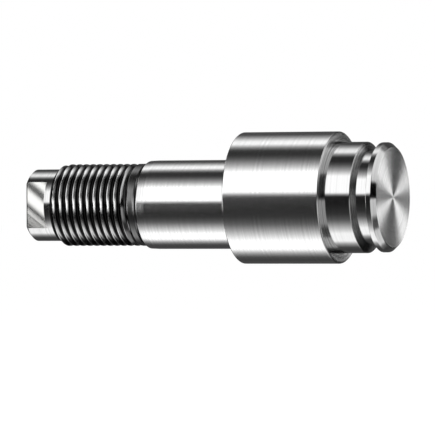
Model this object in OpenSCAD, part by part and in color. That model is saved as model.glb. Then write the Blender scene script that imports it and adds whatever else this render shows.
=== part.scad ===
// Eccentric anchor pin, turned from one bar of steel. It lies along X as it does in service:
// the threaded end points to -X and the collar to +X. The origin is on the axis of the shank,
// where the shank meets the shoulder of the body. The body, journal, groove and collar share
// a second axis, offset towards +Z, so that turning the pin by its flats moves the body.

/* [Tip with flats] */
// Diameter of the plain tip outside the thread
tip_d = 20.7; // [19:0.1:21]
// Length of the tip, up to the start of the thread
tip_len = 8.5; // [8:0.1:16]
// Chamfer round the end of the tip
tip_chamfer = 0.7; // [0.3:0.1:1.2]
// Distance across the two milled flats
flat_across = 15.9; // [14:0.1:18]
// Length of the flats, from the end of the tip
flat_len = 6.6; // [4:0.1:7.4]

/* [Thread] */
// Outer diameter of the thread
thread_d = 23.6; // [22.8:0.1:24.8]
// Turns of the thread in one inch
turns_per_inch = 12; // [11:1:16]
// Length from the tip to the shank, with the thread, its land and its run-out
thread_len = 27.6; // [18:0.1:40]
// Plain land between the last turn and the run-out
land_len = 2.5; // [1:0.1:6]
// Chamfer at the start of the thread
thread_chamfer = 1.3; // [0.8:0.1:1.8]
// Radius of the hollow that runs out of the thread into the shank
runout_r = 1.7; // [1:0.1:2.6]

/* [Shank] */
// Diameter of the ground shank
shank_d = 25.4; // [24.8:0.1:30]
// Length of the shank, from its front edge to the shoulder of the body
shank_len = 28.7; // [20:0.1:45]
// Length of the slight lead-in at the front of the shank
lead_len = 2.4; // [1:0.1:5]
// Depth of the lead-in at the front edge, on the radius
lead_drop = 0.1; // [0.05:0.01:0.2]

/* [Body] */
// Diameter of the eccentric body
body_d = 37.5; // [34.6:0.1:45]
// Length of the body
body_len = 29; // [18:0.1:45]
// Distance from the axis of the shank to the axis of the body
offset_z = 1.8; // [0.8:0.1:3]
// Chamfer on the edge of the body next to the journal
body_edge = 0.35; // [0.2:0.05:0.8]
// Chamfer on the edge of the body next to the shank
shoulder_edge = 0.15; // [0.1:0.05:0.5]

/* [Journal] */
// Diameter of the journal beyond the body
journal_d = 31.5; // [31.2:0.1:34.2]
// Length of the journal
journal_len = 8.2; // [5:0.1:16]

/* [Ring groove] */
// Diameter of the groove's floor
groove_d = 26.5; // [24:0.1:29]
// Length of the groove's floor
groove_len = 3.6; // [2.5:0.1:6]
// Run of the sloping wall between the journal and the floor
groove_slope = 1.05; // [0.5:0.05:2]

/* [Collar] */
// Diameter of the collar
collar_d = 31.1; // [30:0.1:31.4]
// Length of the collar's round land
collar_len = 1.5; // [1:0.1:5]
// Run of the collar's chamfer
collar_chamfer = 1.35; // [0.8:0.05:2]
// Diameter of the flat end face
face_d = 28.6; // [26:0.1:29.4]
// Broken edge round the end face
face_edge = 0.15; // [0.1:0.05:0.3]

/* [Hidden] */
$fn = 96;
// Inch threads: 60 degree flanks, crests an eighth of the pitch wide, and their standard depth
inch = 25.4;
flank_lean = 30;
crest_share = 1 / 8;
depth_share = 0.6134;
// A cutter's block is as large as the tip, and every cut starts this far outside the metal
block = tip_d;
overrun = 1;
rim_r = shank_d / 2 - lead_drop;
rim_rise = rim_r - thread_d / 2;
runout_turn = acos(max(0, 1 - rim_rise / runout_r));
runout_len = runout_r * sin(runout_turn);
pitch = inch / turns_per_inch;
depth = depth_share * pitch;
flank_run = depth * tan(flank_lean);
groove_mouth = pitch * (1 - crest_share);
root_len = groove_mouth - 2 * flank_run;
shank_x = -shank_len;
thread_x = shank_x - thread_len;
tip_x = thread_x - tip_len;
last_turn_x = shank_x - runout_len - land_len;
turns = ceil((last_turn_x - thread_x - thread_chamfer) / pitch);
journal_x = body_len;
slope_x = journal_x + journal_len;
floor_x = slope_x + groove_slope;
collar_x = floor_x + groove_len;
chamfer_x = collar_x + collar_len;
face_x = chamfer_x + collar_chamfer;
inlet = body_len / 2;

// Outline of a turned bar: each station is [distance along the bar, radius]
module outline(stations) {
    first = stations[0][0];
    last = stations[len(stations) - 1][0];
    polygon(concat([[0, first]], [for (s = stations) [s[1], s[0]]], [[0, last]]));
}

// Turns the outline of its children about an axis parallel to X
module turned(axis_z = 0) {
    translate([0, 0, axis_z]) rotate([0, 90, 0]) rotate_extrude() children();
}

// Outline of one groove of the thread, which is drawn as rings at its pitch rather than as a helix
module thread_groove() {
    above = overrun * tan(flank_lean);
    polygon([
        [overrun, -groove_mouth / 2 - above],
        [-depth, -root_len / 2],
        [-depth, root_len / 2],
        [overrun, groove_mouth / 2 + above]
    ]);
}

// Tip, thread and shank, with the hollow that leads from the thread to the shank
module shank_outline() {
    difference() {
        outline([
            [tip_x, tip_d / 2 - tip_chamfer],
            [tip_x + tip_chamfer, tip_d / 2],
            [thread_x, tip_d / 2],
            [thread_x, thread_d / 2 - thread_chamfer],
            [thread_x + thread_chamfer, thread_d / 2],
            [shank_x - runout_len, thread_d / 2],
            [shank_x - runout_len, rim_r],
            [shank_x, rim_r],
            [shank_x + lead_len, shank_d / 2],
            [inlet, shank_d / 2]
        ]);
        translate([thread_d / 2 + runout_r, shank_x - runout_len]) circle(runout_r);
        for (i = [0:turns - 1])
            translate([thread_d / 2, last_turn_x - groove_mouth / 2 - i * pitch]) thread_groove();
    }
}

// Body, journal, groove and collar, which share the offset axis
module body_outline() {
    outline([
        [0, body_d / 2 - shoulder_edge],
        [shoulder_edge, body_d / 2],
        [journal_x - body_edge, body_d / 2],
        [journal_x, body_d / 2 - body_edge],
        [journal_x, journal_d / 2],
        [slope_x, journal_d / 2],
        [floor_x, groove_d / 2],
        [collar_x, groove_d / 2],
        [collar_x, collar_d / 2],
        [chamfer_x, collar_d / 2],
        [face_x - face_edge, face_d / 2 + face_edge],
        [face_x, face_d / 2]
    ]);
}

// The metal beyond one wrench flat
module flat_cut() {
    translate([tip_x - overrun, flat_across / 2, -block / 2]) cube([flat_len + overrun, block, block]);
}

module anchor_pin() {
    color("silver") difference() {
        union() {
            turned() shank_outline();
            turned(offset_z) body_outline();
        }
        for (side = [0, 1]) mirror([0, side, 0]) flat_cut();
    }
}

anchor_pin();
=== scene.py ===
import math

import bmesh
import bpy
from mathutils import Matrix, Vector


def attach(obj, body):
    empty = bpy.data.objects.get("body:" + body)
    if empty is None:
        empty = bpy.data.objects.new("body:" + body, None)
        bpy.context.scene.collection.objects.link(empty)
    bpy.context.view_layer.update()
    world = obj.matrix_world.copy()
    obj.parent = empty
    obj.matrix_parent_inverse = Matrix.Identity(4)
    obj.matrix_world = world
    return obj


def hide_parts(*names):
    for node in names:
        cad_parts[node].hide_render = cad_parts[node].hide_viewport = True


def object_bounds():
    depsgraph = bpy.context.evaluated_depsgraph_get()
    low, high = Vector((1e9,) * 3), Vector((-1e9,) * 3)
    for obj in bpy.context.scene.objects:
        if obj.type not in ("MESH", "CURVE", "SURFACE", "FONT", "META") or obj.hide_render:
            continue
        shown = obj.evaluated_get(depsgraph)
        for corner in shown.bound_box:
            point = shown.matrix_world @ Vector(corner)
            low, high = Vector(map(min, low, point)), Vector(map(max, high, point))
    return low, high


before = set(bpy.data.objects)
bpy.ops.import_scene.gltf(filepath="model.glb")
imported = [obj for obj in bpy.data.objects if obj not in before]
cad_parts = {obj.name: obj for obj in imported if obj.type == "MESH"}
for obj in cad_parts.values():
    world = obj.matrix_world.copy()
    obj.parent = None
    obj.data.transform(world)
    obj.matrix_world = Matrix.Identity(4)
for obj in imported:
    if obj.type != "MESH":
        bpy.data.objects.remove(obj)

CAD_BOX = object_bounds()
MM = 0.001

# Sizes of the pin in metres: the solid's own values, measured along X and from its two axes
BODY_AXIS_Z = 1.8 * MM
TIP_R = 10.35 * MM
TIP_CHAMFER = 0.7 * MM
FLAT_HALF = 7.95 * MM
FLAT_LEN = 6.6 * MM
THREAD_R = 11.8 * MM
THREAD_CHAMFER = 1.3 * MM
SHANK_R = 12.7 * MM
SHANK_LEN = 28.7 * MM
LEAD_LEN = 2.4 * MM
RIM_R = SHANK_R - 0.1 * MM
RUNOUT_R = 1.7 * MM
BODY_R = 18.75 * MM
BODY_LEN = 29 * MM
BODY_EDGE = 0.35 * MM
SHOULDER_EDGE = 0.15 * MM
JOURNAL_R = 15.75 * MM
GROOVE_R = 13.25 * MM
COLLAR_R = 15.55 * MM
FACE_R = 14.3 * MM

# The thread: 12 turns to the inch, 60 degree flanks, narrow crests and a round root
PITCH = 25.4 * MM / 12
CREST = PITCH / 12
ROOT_ROUND = 0.42 * MM
ROOT_LEAN = math.radians(60)
THREAD_DEPTH = (PITCH - CREST) / 2 * math.sqrt(3) - ROOT_ROUND
ROOT_R = THREAD_R - THREAD_DEPTH

# Places along X. From FADE_X on the threading tool draws back, and THREAD_END_X is where the helix stops
TIP_X = CAD_BOX[0].x
FLAT_END_X = TIP_X + FLAT_LEN
THREAD_X = TIP_X + 8.5 * MM
RUNOUT_TURN = math.acos(1 - (RIM_R - THREAD_R) / RUNOUT_R)
RUNOUT_X = -SHANK_LEN - RUNOUT_R * math.sin(RUNOUT_TURN)
FADE_X = RUNOUT_X - 3.6 * MM
FADE_LEN = 1.2 * PITCH
THREAD_END_X = RUNOUT_X - 0.5 * MM
SLOPE_X = BODY_LEN + 8.2 * MM
FLOOR_X = SLOPE_X + 1.05 * MM
COLLAR_X = FLOOR_X + 3.6 * MM
COLLAR_END_X = COLLAR_X + 1.5 * MM
FACE_X = CAD_BOX[1].x

# Small broken edges, which the solid doesn't have
EDGE_BREAK = 0.12 * MM
FLAT_BREAK = 0.5 * MM

# Steps round the pin, on each side of one root of the thread, and in the arc of the run-out, and the angle
# from which an edge shows as sharp
SEGMENTS = 144
ROOT_STEPS = 5
RUNOUT_STEPS = 8
SHARP_EDGE = math.radians(32)

# Distance between tool marks. Real ones lie about 0.1 mm apart on the tip and thread, 0.12 mm on the journal
# and the faces, and 0.07 mm where ground. That is too fine to show, so they are drawn 5 or 10 times as coarse
TURNED_MARK = 5 * 0.1 * MM
FINISHED_MARK = 5 * 0.12 * MM
WHEEL_MARK = 10 * 0.07 * MM

# Long waves that the milling cutter left on the flats, slanting from the pin's axis. From a quarter of a
# wave below their centre on they grow shallower
WAVE_LEN = 10 * MM
WAVE_SLANT = math.radians(38)
WAVE_CENTRE = (-61.5 * MM, 0, 0.65 * MM)
WAVE_DEPTH = 0.235 * MM
WAVE_FADE = (0.25, 0.4)
SHALLOW_SHARE = 0.62

# Painted shade on the thread: it fills the roots up to one radius and ends at the next, and darkens most of
# the last turn
ROOT_SHADE_FULL_R = THREAD_R - 0.9 * MM
ROOT_SHADE_END_R = THREAD_R - 0.4 * MM
END_SHADE_FROM_X = FADE_X - 0.6 * MM
END_SHADE_FULL_X = FADE_X + 0.6 * MM
END_SHADE_LIT_SHARE = 0.25

# The photograph's view, level with the pin and 21.4 degrees round towards its collar
AZIMUTH = math.radians(21.43)
ROLL = math.radians(0.2)
PIXEL = 25.4 * MM / 89.056
FOCAL_PIXELS = 5000
FRAME_PIXELS = 435
ORIGIN_RIGHT = 27.85 * PIXEL
ORIGIN_UP = 13.17 * PIXEL
SENSOR = 36

# The floor, well under the pin, and the lamp over it
FLOOR_Z = -75 * MM
FLOOR_HALF = 30
FLOOR_GLOW_SHARE = 0.85
LAMP_SIZE = 0.9
LAMP_WATTS = 14
LAMP_PLACE = (-0.2, -0.3, 1.2)
LAMP_TILT = -0.24

# Brightness of the tent's panels, as the eye sees it, by their angle round the pin in degrees:
# 0 faces the pin from the camera's side, 90 is overhead, -90 is below and 180 is behind
PANELS = [
    (-180, 0.35), (-140, 0.28), (-126, 0.34), (-112, 0.75), (-102, 1.2), (-80, 1.2), (-63, 0.82),
    (-47, 0.42), (-34, 0.26), (-10, 0.16), (2, 0.16), (10, 1.25), (45, 1.25), (58, 0.78), (71, 0.4),
    (80, 0.22), (91, 0.22), (99, 0.6), (108, 1.16), (117, 1.1), (129, 0.7), (144, 0.3), (180, 0.35),
]
# The same for the panels past the collar
COLLAR_PANELS = [
    (-180, 0.1), (-173, 0.12), (-168, 2.2), (-162, 2.2), (-155, 0.7), (-132, 0.5), (-124, 1.0),
    (-94, 0.95), (-88, 0.4), (-70, 0.35), (-56, 0.9), (-8, 0.95), (2, 0.06), (44, 0.06), (54, 0.95),
    (74, 1.0), (124, 1.05), (132, 0.5), (155, 0.7), (162, 2.2), (168, 2.2), (173, 0.12), (180, 0.1),
]
# The low panels past the collar and behind the pin, by their angle round the place that the end face mirrors:
# 0 is level with it and 90 is above it, so that each stop is one spoke of the end face
SPOKES = [
    (-90, 0.04), (-58, 0.04), (-46, 0.4), (-36, 1.0), (-16, 1.35), (-8, 0.8), (-2, 0.04), (12, 0.04),
    (21, 0.8), (31, 1.27), (58, 1.27), (70, 0.6), (79, 0.04), (90, 0.04),
]
BRIGHTEST = 2.2
WHITE_CARD = 2.0
TIP_PANEL = 1.3
DARK_END = 0.07
GAMMA = 2.2
TENT_R = 3

# Soft edges of the tent's parts, on a sphere of radius 1: the part starts at the first value and is full at
# the second. HEIGHT is measured from the pin's level and DEPTH from the pin, both either way
TIP_SIDE_X = (-0.48, -0.56)
TIP_PANEL_X = (-0.68, -0.76)
TIP_PANEL_HEIGHT = (0.38, 0.48)
TIP_PANEL_DEPTH = (0.22, 0.12)
CARD_START_X = (-0.85, -0.79)
CARD_END_X = (-0.53, -0.59)
CARD_HEIGHT = (0.44, 0.14)
CARD_FRONT = (0.0, 0.1)
SPOKES_Y = (0.0, 0.15)
SPOKES_HEIGHT = (0.7, 0.5)
# Between these two Y, the collar's side changes from the first start and softness to the second ones
COLLAR_SIDE_Y = (-0.1, 0.3)
COLLAR_SIDE_START = (0.08, 0.2)
COLLAR_SIDE_SOFT = (0.16, 0.1)


# The shape

def outer_corners(verts):
    """The corners of an outline where it turns down towards the axis."""
    corners = []
    for before, here, after in zip(verts, verts[1:], verts[2:]):
        coming, going = here.co - before.co, after.co - here.co
        if coming.x * going.z - coming.z * going.x < -1e-9:
            corners.append(here)
    return corners


def turned(stations, axis_z, edge_break):
    """Turns an outline of (x, radius) stations about an axis along X, with its outer corners broken."""
    bm = bmesh.new()
    verts = [bm.verts.new((x, 0, axis_z + r)) for x, r in stations]
    for pair in zip(verts, verts[1:]):
        bm.edges.new(pair)
    if edge_break:
        bmesh.ops.bevel(bm, geom=outer_corners(verts), offset=edge_break, segments=3, profile=0.5,
                        affect="VERTICES", clamp_overlap=True, material=-1)
    bmesh.ops.spin(bm, geom=bm.verts[:] + bm.edges[:], cent=(0, 0, axis_z), axis=(1, 0, 0),
                   angle=math.tau, steps=SEGMENTS, use_merge=True)
    bmesh.ops.remove_doubles(bm, verts=bm.verts, dist=1e-7)
    return bm


def tip_stations():
    return [
        (TIP_X, 0),
        (TIP_X, TIP_R - TIP_CHAMFER),
        (TIP_X + TIP_CHAMFER, TIP_R),
        (THREAD_X, TIP_R),
    ]


def shank_stations():
    """The hollow that climbs out of the thread, the lead-in and the ground shank."""
    arc = []
    for step in range(RUNOUT_STEPS + 1):
        turn = RUNOUT_TURN * step / RUNOUT_STEPS
        arc.append((RUNOUT_X + RUNOUT_R * math.sin(turn), THREAD_R + RUNOUT_R * (1 - math.cos(turn))))
    return arc + [(-SHANK_LEN + LEAD_LEN, SHANK_R), (0, SHANK_R)]


def body_stations():
    return [
        (0, BODY_R - SHOULDER_EDGE),
        (SHOULDER_EDGE, BODY_R),
        (BODY_LEN - BODY_EDGE, BODY_R),
        (BODY_LEN, BODY_R - BODY_EDGE),
        (BODY_LEN, JOURNAL_R),
        (SLOPE_X, JOURNAL_R),
        (FLOOR_X, GROOVE_R),
        (COLLAR_X, GROOVE_R),
        (COLLAR_X, COLLAR_R),
        (COLLAR_END_X, COLLAR_R),
        (FACE_X, FACE_R),
        (FACE_X, 0),
    ]


def open_edges(bm, place, facing):
    """Open edges that lie on the plane through a place, square to a direction."""
    return [e for e in bm.edges if e.is_boundary
            and all(abs((v.co - place).dot(facing)) < 1e-6 for v in e.verts)]


def mill_flat(bm, side):
    """Cuts the wrench flat on one side, and closes it and the shoulder at its end."""
    front = [f for f in bm.faces if f.calc_center_median().x < FLAT_END_X]
    edges = {e for f in front for e in f.edges}
    verts = {v for f in front for v in f.verts}
    bmesh.ops.bisect_plane(bm, geom=front + list(edges) + list(verts), dist=1e-8,
                           plane_co=(0, side * FLAT_HALF, 0), plane_no=(0, side, 0))
    beyond = [f for f in bm.faces if f.calc_center_median().x < FLAT_END_X
              and f.calc_center_median().y * side > FLAT_HALF]
    bmesh.ops.delete(bm, geom=beyond, context="FACES")
    corners = [v for v in bm.verts if abs(v.co.x - FLAT_END_X) < 1e-6
               and abs(v.co.y - side * FLAT_HALF) < 1e-6]
    bmesh.ops.contextual_create(bm, geom=corners)
    foot = [e for e in bm.edges if e.is_wire]
    shoulder = [e for e in open_edges(bm, Vector((FLAT_END_X, 0, 0)), Vector((1, 0, 0)))
                if (e.verts[0].co.y + e.verts[1].co.y) * side > 2 * FLAT_HALF]
    flat_rim = open_edges(bm, Vector((0, side * FLAT_HALF, 0)), Vector((0, 1, 0)))
    bmesh.ops.edgeloop_fill(bm, edges=flat_rim + foot)
    bmesh.ops.edgeloop_fill(bm, edges=shoulder + foot)


def break_flat_end(bm, side):
    """Breaks the edge between the flat on one side and the end of the tip, right across."""
    corner = Vector((TIP_X + FLAT_BREAK, side * FLAT_HALF, 0))
    outward = Vector((-1, side, 0)).normalized()
    bmesh.ops.bisect_plane(bm, geom=bm.verts[:] + bm.edges[:] + bm.faces[:], dist=1e-8,
                           plane_co=corner, plane_no=outward, clear_outer=True)
    bmesh.ops.edgeloop_fill(bm, edges=open_edges(bm, corner, outward))


def tip():
    """The turned tip with its two wrench flats, open where the thread starts."""
    bm = turned(tip_stations(), 0, 0)
    bmesh.ops.bisect_plane(bm, geom=bm.verts[:] + bm.edges[:] + bm.faces[:], dist=1e-8,
                           plane_co=(FLAT_END_X, 0, 0), plane_no=(1, 0, 0))
    for side in (-1, 1):
        mill_flat(bm, side)
        break_flat_end(bm, side)
    return bm


def thread_profile():
    """One pitch of the thread, from the middle of a crest to the middle of the next."""
    points = [(0, THREAD_R), (CREST / 2, THREAD_R)]
    for step in range(-ROOT_STEPS, ROOT_STEPS + 1):
        lean = ROOT_LEAN * step / ROOT_STEPS
        points.append((PITCH / 2 + ROOT_ROUND * math.sin(lean),
                       ROOT_R + ROOT_ROUND * (1 - math.cos(lean))))
    return points + [(PITCH - CREST / 2, THREAD_R), (PITCH, THREAD_R)]


def helix(start, turns):
    """Sweeps one pitch of the thread along a right-hand helix, and repeats that turn along the bar."""
    bm = bmesh.new()
    verts = [bm.verts.new((start + x, 0, r)) for x, r in thread_profile()]
    edges = [bm.edges.new(pair) for pair in zip(verts, verts[1:])]
    bmesh.ops.spin(bm, geom=verts + edges, cent=(0, 0, 0), axis=(1, 0, 0),
                   dvec=(PITCH / SEGMENTS, 0, 0), angle=math.tau, steps=SEGMENTS)
    one_turn = bm.verts[:] + bm.edges[:] + bm.faces[:]
    for turn in range(1, turns):
        copied = bmesh.ops.duplicate(bm, geom=one_turn)["geom"]
        bmesh.ops.translate(bm, verts=[v for v in copied if isinstance(v, bmesh.types.BMVert)],
                            vec=(turn * PITCH, 0, 0))
    bmesh.ops.remove_doubles(bm, verts=bm.verts, dist=2e-6)
    return bm


def thread_radius(x, radius):
    """Radius after the start chamfer has cut the crests and the tool has run out of the bar."""
    lead = THREAD_R - THREAD_CHAMFER + (x - THREAD_X)
    withdrawn = THREAD_DEPTH * min(1, max(0, (x - FADE_X) / FADE_LEN))
    return min(radius + withdrawn, THREAD_R, max(lead, ROOT_R))


def thread():
    """The helix with both of its ends shaped and trimmed square."""
    start = THREAD_X - 1.58 * PITCH
    bm = helix(start, math.ceil((THREAD_END_X - start) / PITCH) + 1)
    for vert in bm.verts:
        x, y, z = vert.co
        radius = math.hypot(y, z)
        scale = thread_radius(x, radius) / radius
        vert.co = (x, y * scale, z * scale)
    for place, side in ((THREAD_X, -1), (THREAD_END_X, 1)):
        bmesh.ops.bisect_plane(bm, geom=bm.verts[:] + bm.edges[:] + bm.faces[:], dist=1e-8,
                               plane_co=(place, 0, 0), plane_no=(side, 0, 0), clear_outer=True)
    return bm


def add(bm, other):
    """Copies another bmesh into this one and frees it."""
    mesh = bpy.data.meshes.new("joined")
    other.to_mesh(mesh)
    other.free()
    bm.from_mesh(mesh)
    bpy.data.meshes.remove(mesh)


def rim(bm, x, low=0, high=1):
    """Open edges that lie at x, between two distances from the axis of the shank."""
    found = []
    for edge in bm.edges:
        middle = (edge.verts[0].co + edge.verts[1].co) / 2
        if edge.is_boundary and abs(middle.x - x) < 1e-6 and low < math.hypot(middle.y, middle.z) < high:
            found.append(edge)
    return found


def whole_pin():
    """Joins the turned parts and the thread into one closed skin."""
    bm = bmesh.new()
    for part in (tip(), thread(), turned(shank_stations(), 0, EDGE_BREAK),
                 turned(body_stations(), BODY_AXIS_Z, EDGE_BREAK)):
        add(bm, part)
    middle_of_step = (TIP_R + ROOT_R) / 2
    bmesh.ops.bridge_loops(bm, edges=rim(bm, THREAD_X, high=middle_of_step)
                           + rim(bm, THREAD_X, low=middle_of_step))
    bmesh.ops.bridge_loops(bm, edges=rim(bm, THREAD_END_X) + rim(bm, RUNOUT_X))
    bmesh.ops.triangle_fill(bm, edges=rim(bm, 0), use_beauty=True, normal=(-1, 0, 0))
    bmesh.ops.recalc_face_normals(bm, faces=bm.faces)
    return bm


def as_object(name, bm):
    mesh = bpy.data.meshes.new(name)
    bm.to_mesh(mesh)
    bm.free()
    thing = bpy.data.objects.new(name, mesh)
    bpy.context.scene.collection.objects.link(thing)
    return thing


# The finishes

def srgb(code):
    """Turns a hex colour such as 'C8C8C6' into linear values."""
    values = [int(code[i:i + 2], 16) / 255 for i in (0, 2, 4)]
    return [v / 12.92 if v <= 0.04045 else ((v + 0.055) / 1.055) ** 2.4 for v in values] + [1]


def node(tree, kind, settings=None, **links):
    """Adds a node with its settings; a link is named for its input and holds a socket or a value."""
    made = tree.nodes.new(kind)
    for name, value in (settings or {}).items():
        setattr(made, name, value)
    for name, value in links.items():
        key = int(name[1:]) if name[1:].isdigit() else name.replace("_", " ")
        target = made.inputs[key]
        if isinstance(value, bpy.types.NodeSocket):
            tree.links.new(value, target)
        else:
            target.default_value = value
    return made


def new_material(name):
    material = bpy.data.materials.new(name)
    material.use_nodes = True
    material.node_tree.nodes.clear()
    return material, material.node_tree


def round_axis(tree, axis_z):
    """Object coordinates, and the direction round an axis parallel to X, as long as the distance from it."""
    place = node(tree, "ShaderNodeTexCoord").outputs["Object"]
    centred = node(tree, "ShaderNodeVectorMath", {"operation": "SUBTRACT"},
                   _0=place, _1=(0, 0, axis_z)).outputs[0]
    around = node(tree, "ShaderNodeVectorMath", {"operation": "CROSS_PRODUCT"},
                  _0=(1, 0, 0), _1=centred).outputs[0]
    return place, around


def ringed_surface(tree, around, measure, light, dark, spacing, depth, **surface):
    """Bare steel with the fine rings of a tool, which follow one another by a measure such as the place
    along the bar. They stretch each highlight across them, and are light where shallow, dark where deep."""
    normal = node(tree, "ShaderNodeNewGeometry").outputs["Normal"]
    across = node(tree, "ShaderNodeVectorMath", {"operation": "CROSS_PRODUCT"},
                  _0=normal, _1=around).outputs[0]
    marks = node(tree, "ShaderNodeTexNoise", {"noise_dimensions": "1D"}, W=measure,
                 Scale=1 / spacing, Detail=2.0, Roughness=0.6).outputs[0]
    bump = node(tree, "ShaderNodeBump", Distance=depth, Height=marks).outputs[0]
    raised = node(tree, "ShaderNodeMapRange", Value=marks, From_Min=0.3, From_Max=0.7).outputs[0]
    shade = node(tree, "ShaderNodeMix", {"data_type": "RGBA"}, _0=raised, _6=dark, _7=light).outputs[2]
    shader = node(tree, "ShaderNodeBsdfPrincipled", Base_Color=shade, Metallic=1.0,
                  Tangent=across, Normal=bump, **surface)
    node(tree, "ShaderNodeOutputMaterial", Surface=shader.outputs[0])


def turned_finish(name, axis_z, light, dark, spacing, depth, **surface):
    """Steel worked along the bar, whose rings lie side by side."""
    material, tree = new_material(name)
    place, around = round_axis(tree, axis_z)
    along = node(tree, "ShaderNodeSeparateXYZ", Vector=place).outputs["X"]
    ringed_surface(tree, around, along, srgb(light), srgb(dark), spacing, depth, **surface)
    return material


def faced_finish(name, axis_z, light, dark, depth, **surface):
    """Steel faced square to its axis, whose rings lie one inside the other."""
    material, tree = new_material(name)
    place, around = round_axis(tree, axis_z)
    radius = node(tree, "ShaderNodeVectorMath", {"operation": "LENGTH"}, _0=around).outputs["Value"]
    ringed_surface(tree, around, radius, srgb(light), srgb(dark), FINISHED_MARK, depth, **surface)
    return material


def ground_steel():
    """Ground shank and body: bright and smooth, with faint streaks round them that the wheel left."""
    return turned_finish("ground_steel", 0, "E4E4E4", "D8D8D8", WHEEL_MARK, 0.006 * MM,
                         Roughness=0.16, Anisotropic=0.4)


def finely_turned_steel():
    """Finely turned journal, groove and collar: deeper blacks than the ground body, with crisper bands."""
    return turned_finish("finely_turned_steel", BODY_AXIS_Z, "D0D0D0", "C8C8C8", FINISHED_MARK, 0.006 * MM,
                         Roughness=0.1, Anisotropic=0.4)


def turned_tip_steel():
    """Turned tip: crisp bright and black bands along it, a little duller than the ground shank."""
    return turned_finish("turned_tip_steel", 0, "D0D0D0", "C0C0C0", TURNED_MARK, 0.006 * MM,
                         Roughness=0.12, Anisotropic=0.3)


def rough_turned_steel():
    """The body's broken edge, left as the tool cut it: a thin grey line between two bright surfaces."""
    return turned_finish("rough_turned_steel", 0, "B0B0B0", "A0A0A0", TURNED_MARK, 0.01 * MM,
                         Roughness=0.22, Anisotropic=0.2)


def shaded_runout_steel():
    """Turned run-out between the thread and the shank: soft, with a darker colour that paints the shade of
    its hollow.
    """
    return turned_finish("shaded_runout_steel", 0, "7C7C7C", "606060", TURNED_MARK, 0.01 * MM,
                         Roughness=0.28, Anisotropic=0.2)


def faced_steel():
    """Faced shoulder and ring of the body: visible circles, and light drawn out along the radius."""
    return faced_finish("faced_steel", BODY_AXIS_Z, "CCCCCC", "949494", 0.012 * MM,
                        Roughness=0.2, Anisotropic=0.9)


def sloping_wall_steel():
    """The groove's sloping wall, cut by the corner of the tool: the same circles, in a softer grey."""
    return faced_finish("sloping_wall_steel", BODY_AXIS_Z, "D0D0D0", "909090", 0.012 * MM,
                        Roughness=0.26, Anisotropic=0.8)


def faced_end_steel():
    """The collar's end, faced to its centre: the circles draw light out into bright and dark spokes."""
    return faced_finish("faced_end_steel", BODY_AXIS_Z, "EEEEEE", "D0D0D0", 0.008 * MM,
                        Roughness=0.24, Anisotropic=1.0)


def faced_tip_steel():
    """The tip's end and the step up to the thread, faced about the shank's axis: a quiet, even grey."""
    return faced_finish("faced_tip_steel", 0, "C8C8C8", "B0B0B0", 0.012 * MM,
                        Roughness=0.25, Anisotropic=0.6)


def threaded_steel():
    """Cut thread: bright crests and flanks, with painted shade darkening the roots and most of the last turn.
    """
    material, tree = new_material("threaded_steel")
    place, around = round_axis(tree, 0)
    radius = node(tree, "ShaderNodeVectorMath", {"operation": "LENGTH"}, _0=around).outputs["Value"]
    along = node(tree, "ShaderNodeSeparateXYZ", Vector=place).outputs["X"]
    # Painted shade: a dark colour in the roots, by distance from the axis, and over most of the last turn
    out_of_root = node(tree, "ShaderNodeMapRange", Value=radius,
                       From_Min=ROOT_SHADE_FULL_R, From_Max=ROOT_SHADE_END_R).outputs[0]
    before_end = node(tree, "ShaderNodeMapRange", Value=along, From_Min=END_SHADE_FULL_X,
                      From_Max=END_SHADE_FROM_X, To_Min=END_SHADE_LIT_SHARE).outputs[0]
    unshaded = node(tree, "ShaderNodeMath", {"operation": "MULTIPLY"}, _0=out_of_root, _1=before_end).outputs[0]
    shade = node(tree, "ShaderNodeMix", {"data_type": "RGBA"}, _0=unshaded,
                 _6=srgb("242424"), _7=srgb("D4D4D4")).outputs[2]
    ringed_surface(tree, around, along, shade, shade, TURNED_MARK, 0.002 * MM,
                   Roughness=0.16, Anisotropic=0.3)
    return material


def milled_steel():
    """Milled flats: the cutter left them slightly wavy, so they catch light in slanting bands."""
    material, tree = new_material("milled_steel")
    place = node(tree, "ShaderNodeTexCoord").outputs["Object"]
    centred = node(tree, "ShaderNodeVectorMath", {"operation": "SUBTRACT"},
                   _0=place, _1=WAVE_CENTRE).outputs[0]
    turns = math.tau / WAVE_LEN
    slant = node(tree, "ShaderNodeVectorMath", {"operation": "DOT_PRODUCT"}, _0=centred,
                 _1=(-math.sin(WAVE_SLANT) * turns, 0, -math.cos(WAVE_SLANT) * turns)).outputs["Value"]
    wave = node(tree, "ShaderNodeMath", {"operation": "SINE"}, _0=slant).outputs[0]
    fade = node(tree, "ShaderNodeMapRange", Value=slant, From_Min=WAVE_FADE[0] * math.tau,
                From_Max=WAVE_FADE[1] * math.tau, To_Min=1.0, To_Max=SHALLOW_SHARE).outputs[0]
    height = node(tree, "ShaderNodeMath", {"operation": "MULTIPLY"}, _0=wave, _1=fade).outputs[0]
    bump = node(tree, "ShaderNodeBump", Distance=WAVE_DEPTH, Height=height).outputs[0]
    shader = node(tree, "ShaderNodeBsdfPrincipled", Base_Color=srgb("DADAD8"), Metallic=1.0,
                  Roughness=0.18, Normal=bump)
    node(tree, "ShaderNodeOutputMaterial", Surface=shader.outputs[0])
    return material


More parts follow.
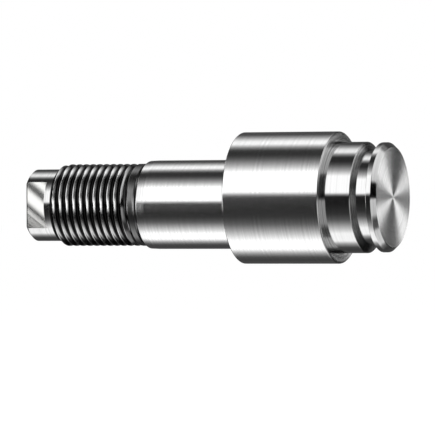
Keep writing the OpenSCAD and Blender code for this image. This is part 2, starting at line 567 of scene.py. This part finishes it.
def finish_name(face):
    """The finish of one face, by its place along the pin and the way that it faces."""
    x, facing = face.center.x, face.normal
    if abs(facing.x) > 0.999:
        if x > COLLAR_END_X:
            return "faced_end_steel"
        return "faced_tip_steel" if x < -SHANK_LEN else "faced_steel"
    if abs(facing.y) > 0.999 and x < FLAT_END_X:
        return "milled_steel"
    if BODY_LEN - BODY_EDGE < x < BODY_LEN and facing.x > 0.2:
        return "rough_turned_steel"
    if x < THREAD_X:
        return "turned_tip_steel"
    # The run-out takes a darker steel that paints the shade of its hollow
    if FADE_X + PITCH < x < -SHANK_LEN:
        return "shaded_runout_steel"
    if THREAD_X < x < RUNOUT_X:
        return "threaded_steel"
    if SLOPE_X < x < FLOOR_X:
        return "sloping_wall_steel"
    return "finely_turned_steel" if x > BODY_LEN else "ground_steel"


def dress(pin):
    """Gives each face its finish, and shades the round surfaces smooth between sharp edges."""
    slots = {}
    for finish in (ground_steel(), faced_steel(), milled_steel(), threaded_steel(), faced_end_steel(),
                   finely_turned_steel(), rough_turned_steel(), sloping_wall_steel(), faced_tip_steel(),
                   shaded_runout_steel(), turned_tip_steel()):
        slots[finish.name] = len(pin.data.materials)
        pin.data.materials.append(finish)
    for face in pin.data.polygons:
        face.use_smooth = True
        face.material_index = slots[finish_name(face)]
    pin.data.set_sharp_from_angle(angle=SHARP_EDGE)
    pin.modifiers.new("shading", "WEIGHTED_NORMAL").keep_sharp = True


# The studio: a pale floor, a white room, and a tent of graded panels that the steel reflects

def add_camera():
    forward = Vector((-math.sin(AZIMUTH), math.cos(AZIMUTH), 0))
    level = Vector((math.cos(AZIMUTH), math.sin(AZIMUTH), 0))
    right = level * math.cos(ROLL) - Vector((0, 0, 1)) * math.sin(ROLL)
    up = right.cross(forward)
    data = bpy.data.cameras.new("camera")
    data.sensor_width = SENSOR
    data.lens = SENSOR * FOCAL_PIXELS / FRAME_PIXELS
    camera = bpy.data.objects.new("camera", data)
    bpy.context.scene.collection.objects.link(camera)
    place = -(right * ORIGIN_RIGHT + up * ORIGIN_UP + forward * FOCAL_PIXELS * PIXEL)
    camera.matrix_world = Matrix.Translation(place) @ Matrix((right, up, -forward)).transposed().to_4x4()
    bpy.context.scene.camera = camera


def seen_directly(tree):
    """1 for rays from the camera, and for those that the metal or a glass sends on."""
    path = node(tree, "ShaderNodeLightPath")
    seen = node(tree, "ShaderNodeMath", {"operation": "MAXIMUM"},
                _0=path.outputs["Is Camera Ray"], _1=path.outputs["Is Glossy Ray"])
    return node(tree, "ShaderNodeMath", {"operation": "MAXIMUM"},
                _0=seen.outputs[0], _1=path.outputs["Is Transmission Ray"]).outputs[0]


def add_floor():
    """A floor that glows nearly white to the eye, and still takes some of the pin's shadow."""
    bm = bmesh.new()
    bmesh.ops.create_grid(bm, x_segments=1, y_segments=1, size=FLOOR_HALF,
                          matrix=Matrix.Translation((0, 0, FLOOR_Z)))
    floor = as_object("floor", bm)
    material, tree = new_material("pale_floor")
    matt = node(tree, "ShaderNodeBsdfDiffuse", Color=srgb("FFFFFF"))
    white = node(tree, "ShaderNodeEmission", Strength=1.0)
    share = node(tree, "ShaderNodeMath", {"operation": "MULTIPLY"},
                 _0=seen_directly(tree), _1=FLOOR_GLOW_SHARE)
    mixed = node(tree, "ShaderNodeMixShader", _0=share.outputs[0], _1=matt.outputs[0], _2=white.outputs[0])
    node(tree, "ShaderNodeOutputMaterial", Surface=mixed.outputs[0])
    floor.data.materials.append(material)
    floor.visible_glossy = False


def add_world():
    world = bpy.data.worlds.new("white_room")
    world.use_nodes = True
    tree = world.node_tree
    tree.nodes.clear()
    back = node(tree, "ShaderNodeBackground", Color=(1, 1, 1, 1), Strength=1.0)
    node(tree, "ShaderNodeOutputWorld", Surface=back.outputs[0])
    bpy.context.scene.world = world


def panels(tree, angle, stops, reach):
    """Brightness by an angle in radians, from a list of stops between -reach and reach degrees."""
    turn = node(tree, "ShaderNodeMapRange", Value=angle, From_Min=-math.radians(reach),
                From_Max=math.radians(reach))
    ramp = node(tree, "ShaderNodeValToRGB", Fac=turn.outputs[0])
    elements = ramp.color_ramp.elements
    while len(elements) < len(stops):
        elements.new(0.5)
    for element, (degrees, level) in zip(elements, stops):
        element.position = (degrees + reach) / (2 * reach)
        element.color = (level / BRIGHTEST, level / BRIGHTEST, level / BRIGHTEST, 1)
    return ramp.outputs[0]


def inside_all(tree, *shares):
    """How far a place lies inside every one of several soft edges, from 0 to 1."""
    inside = shares[0]
    for share in shares[1:]:
        inside = node(tree, "ShaderNodeMath", {"operation": "MULTIPLY"}, _0=inside, _1=share).outputs[0]
    return inside


def collar_share(tree, x, y):
    """1 past the collar. That side starts nearer the middle in front of the pin than behind it."""
    start = node(tree, "ShaderNodeMapRange", Value=y, From_Min=COLLAR_SIDE_Y[0], From_Max=COLLAR_SIDE_Y[1],
                 To_Min=COLLAR_SIDE_START[0], To_Max=COLLAR_SIDE_START[1]).outputs[0]
    soft = node(tree, "ShaderNodeMapRange", Value=y, From_Min=COLLAR_SIDE_Y[0], From_Max=COLLAR_SIDE_Y[1],
                To_Min=COLLAR_SIDE_SOFT[0], To_Max=COLLAR_SIDE_SOFT[1]).outputs[0]
    past = node(tree, "ShaderNodeMath", {"operation": "SUBTRACT"}, _0=x, _1=start).outputs[0]
    return node(tree, "ShaderNodeMath", {"operation": "DIVIDE", "use_clamp": True},
                _0=past, _1=soft).outputs[0]


def collar_level(tree, angle, y, z, height):
    """The tent past the collar: panels round the pin, and low behind it those that make the spokes."""
    nearer = node(tree, "ShaderNodeMath", {"operation": "SUBTRACT"}, _0=math.cos(AZIMUTH), _1=y).outputs[0]
    slope = node(tree, "ShaderNodeMath", {"operation": "DIVIDE"}, _0=z, _1=nearer).outputs[0]
    spoke = node(tree, "ShaderNodeMath", {"operation": "ARCTANGENT"}, _0=slope).outputs[0]
    behind = node(tree, "ShaderNodeMapRange", Value=y, From_Min=SPOKES_Y[0], From_Max=SPOKES_Y[1]).outputs[0]
    low = node(tree, "ShaderNodeMapRange", Value=height, From_Min=SPOKES_HEIGHT[0],
               From_Max=SPOKES_HEIGHT[1]).outputs[0]
    return node(tree, "ShaderNodeMix", {"data_type": "FLOAT"}, _0=inside_all(tree, behind, low),
                _2=panels(tree, angle, COLLAR_PANELS, 180), _3=panels(tree, spoke, SPOKES, 90)).outputs[0]


def tip_level(tree, x, y, height):
    """The tent past the tip: dark, with a lit panel above and one below."""
    depth = node(tree, "ShaderNodeMath", {"operation": "ABSOLUTE"}, _0=y).outputs[0]
    raised = node(tree, "ShaderNodeMapRange", Value=height, From_Min=TIP_PANEL_HEIGHT[0],
                  From_Max=TIP_PANEL_HEIGHT[1]).outputs[0]
    far = node(tree, "ShaderNodeMapRange", Value=x, From_Min=TIP_PANEL_X[0],
               From_Max=TIP_PANEL_X[1]).outputs[0]
    near = node(tree, "ShaderNodeMapRange", Value=depth, From_Min=TIP_PANEL_DEPTH[0],
                From_Max=TIP_PANEL_DEPTH[1]).outputs[0]
    return node(tree, "ShaderNodeMapRange", Value=inside_all(tree, raised, far, near),
                To_Min=DARK_END / BRIGHTEST, To_Max=TIP_PANEL / BRIGHTEST).outputs[0]


def card_share(tree, x, front, height):
    """1 on the white card, which stands in front of the thread and level with it."""
    start = node(tree, "ShaderNodeMapRange", Value=x, From_Min=CARD_START_X[0],
                 From_Max=CARD_START_X[1]).outputs[0]
    end = node(tree, "ShaderNodeMapRange", Value=x, From_Min=CARD_END_X[0],
               From_Max=CARD_END_X[1]).outputs[0]
    level = node(tree, "ShaderNodeMapRange", Value=height, From_Min=CARD_HEIGHT[0],
                 From_Max=CARD_HEIGHT[1]).outputs[0]
    ahead = node(tree, "ShaderNodeMapRange", Value=front, From_Min=CARD_FRONT[0],
                 From_Max=CARD_FRONT[1]).outputs[0]
    return inside_all(tree, start, end, level, ahead)


def tent_level(tree):
    """Brightness of the tent as the eye sees it: its sides and its card, each laid over the one before."""
    place = node(tree, "ShaderNodeTexCoord").outputs["Object"]
    unit = node(tree, "ShaderNodeVectorMath", {"operation": "NORMALIZE"}, _0=place).outputs[0]
    x, y, z = node(tree, "ShaderNodeSeparateXYZ", Vector=unit).outputs
    front = node(tree, "ShaderNodeMath", {"operation": "MULTIPLY"}, _0=y, _1=-1.0).outputs[0]
    height = node(tree, "ShaderNodeMath", {"operation": "ABSOLUTE"}, _0=z).outputs[0]
    angle = node(tree, "ShaderNodeMath", {"operation": "ARCTAN2"}, _0=z, _1=front).outputs[0]
    tip_share = node(tree, "ShaderNodeMapRange", Value=x, From_Min=TIP_SIDE_X[0],
                     From_Max=TIP_SIDE_X[1]).outputs[0]
    level = panels(tree, angle, PANELS, 180)
    for share, over in (
        (collar_share(tree, x, y), collar_level(tree, angle, y, z, height)),
        (tip_share, tip_level(tree, x, y, height)),
        (card_share(tree, x, front, height), WHITE_CARD / BRIGHTEST),
    ):
        level = node(tree, "ShaderNodeMix", {"data_type": "FLOAT"}, _0=share, _2=level, _3=over).outputs[0]
    return level


def add_tent():
    """A round tent that only the metal sees: bands along the pin, a dark end and a lit one."""
    bm = bmesh.new()
    bmesh.ops.create_icosphere(bm, subdivisions=5, radius=TENT_R)
    bmesh.ops.reverse_faces(bm, faces=bm.faces)
    tent = as_object("tent", bm)
    material, tree = new_material("tent_panels")
    light = node(tree, "ShaderNodeMath", {"operation": "POWER"}, _0=tent_level(tree), _1=GAMMA)
    strength = node(tree, "ShaderNodeMath", {"operation": "MULTIPLY"},
                    _0=light.outputs[0], _1=BRIGHTEST ** GAMMA)
    glow = node(tree, "ShaderNodeEmission", Strength=strength.outputs[0])
    node(tree, "ShaderNodeOutputMaterial", Surface=glow.outputs[0])
    tent.data.materials.append(material)
    tent.visible_camera = False
    tent.visible_diffuse = False
    tent.visible_transmission = False
    tent.visible_shadow = False


def add_lamp():
    """A soft lamp overhead, which the metal doesn't reflect."""
    data = bpy.data.lights.new("soft_lamp", "AREA")
    data.size = LAMP_SIZE
    data.energy = LAMP_WATTS
    lamp = bpy.data.objects.new("soft_lamp", data)
    lamp.matrix_world = Matrix.Translation(LAMP_PLACE) @ Matrix.Rotation(LAMP_TILT, 4, "X")
    lamp.visible_glossy = False
    bpy.context.scene.collection.objects.link(lamp)


pin = as_object("turned_pin", whole_pin())
dress(pin)
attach(pin, "root")
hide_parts("anchor_pin")

add_camera()
add_floor()
add_world()
add_tent()
add_lamp()
bpy.context.scene.view_settings.view_transform = "Standard"
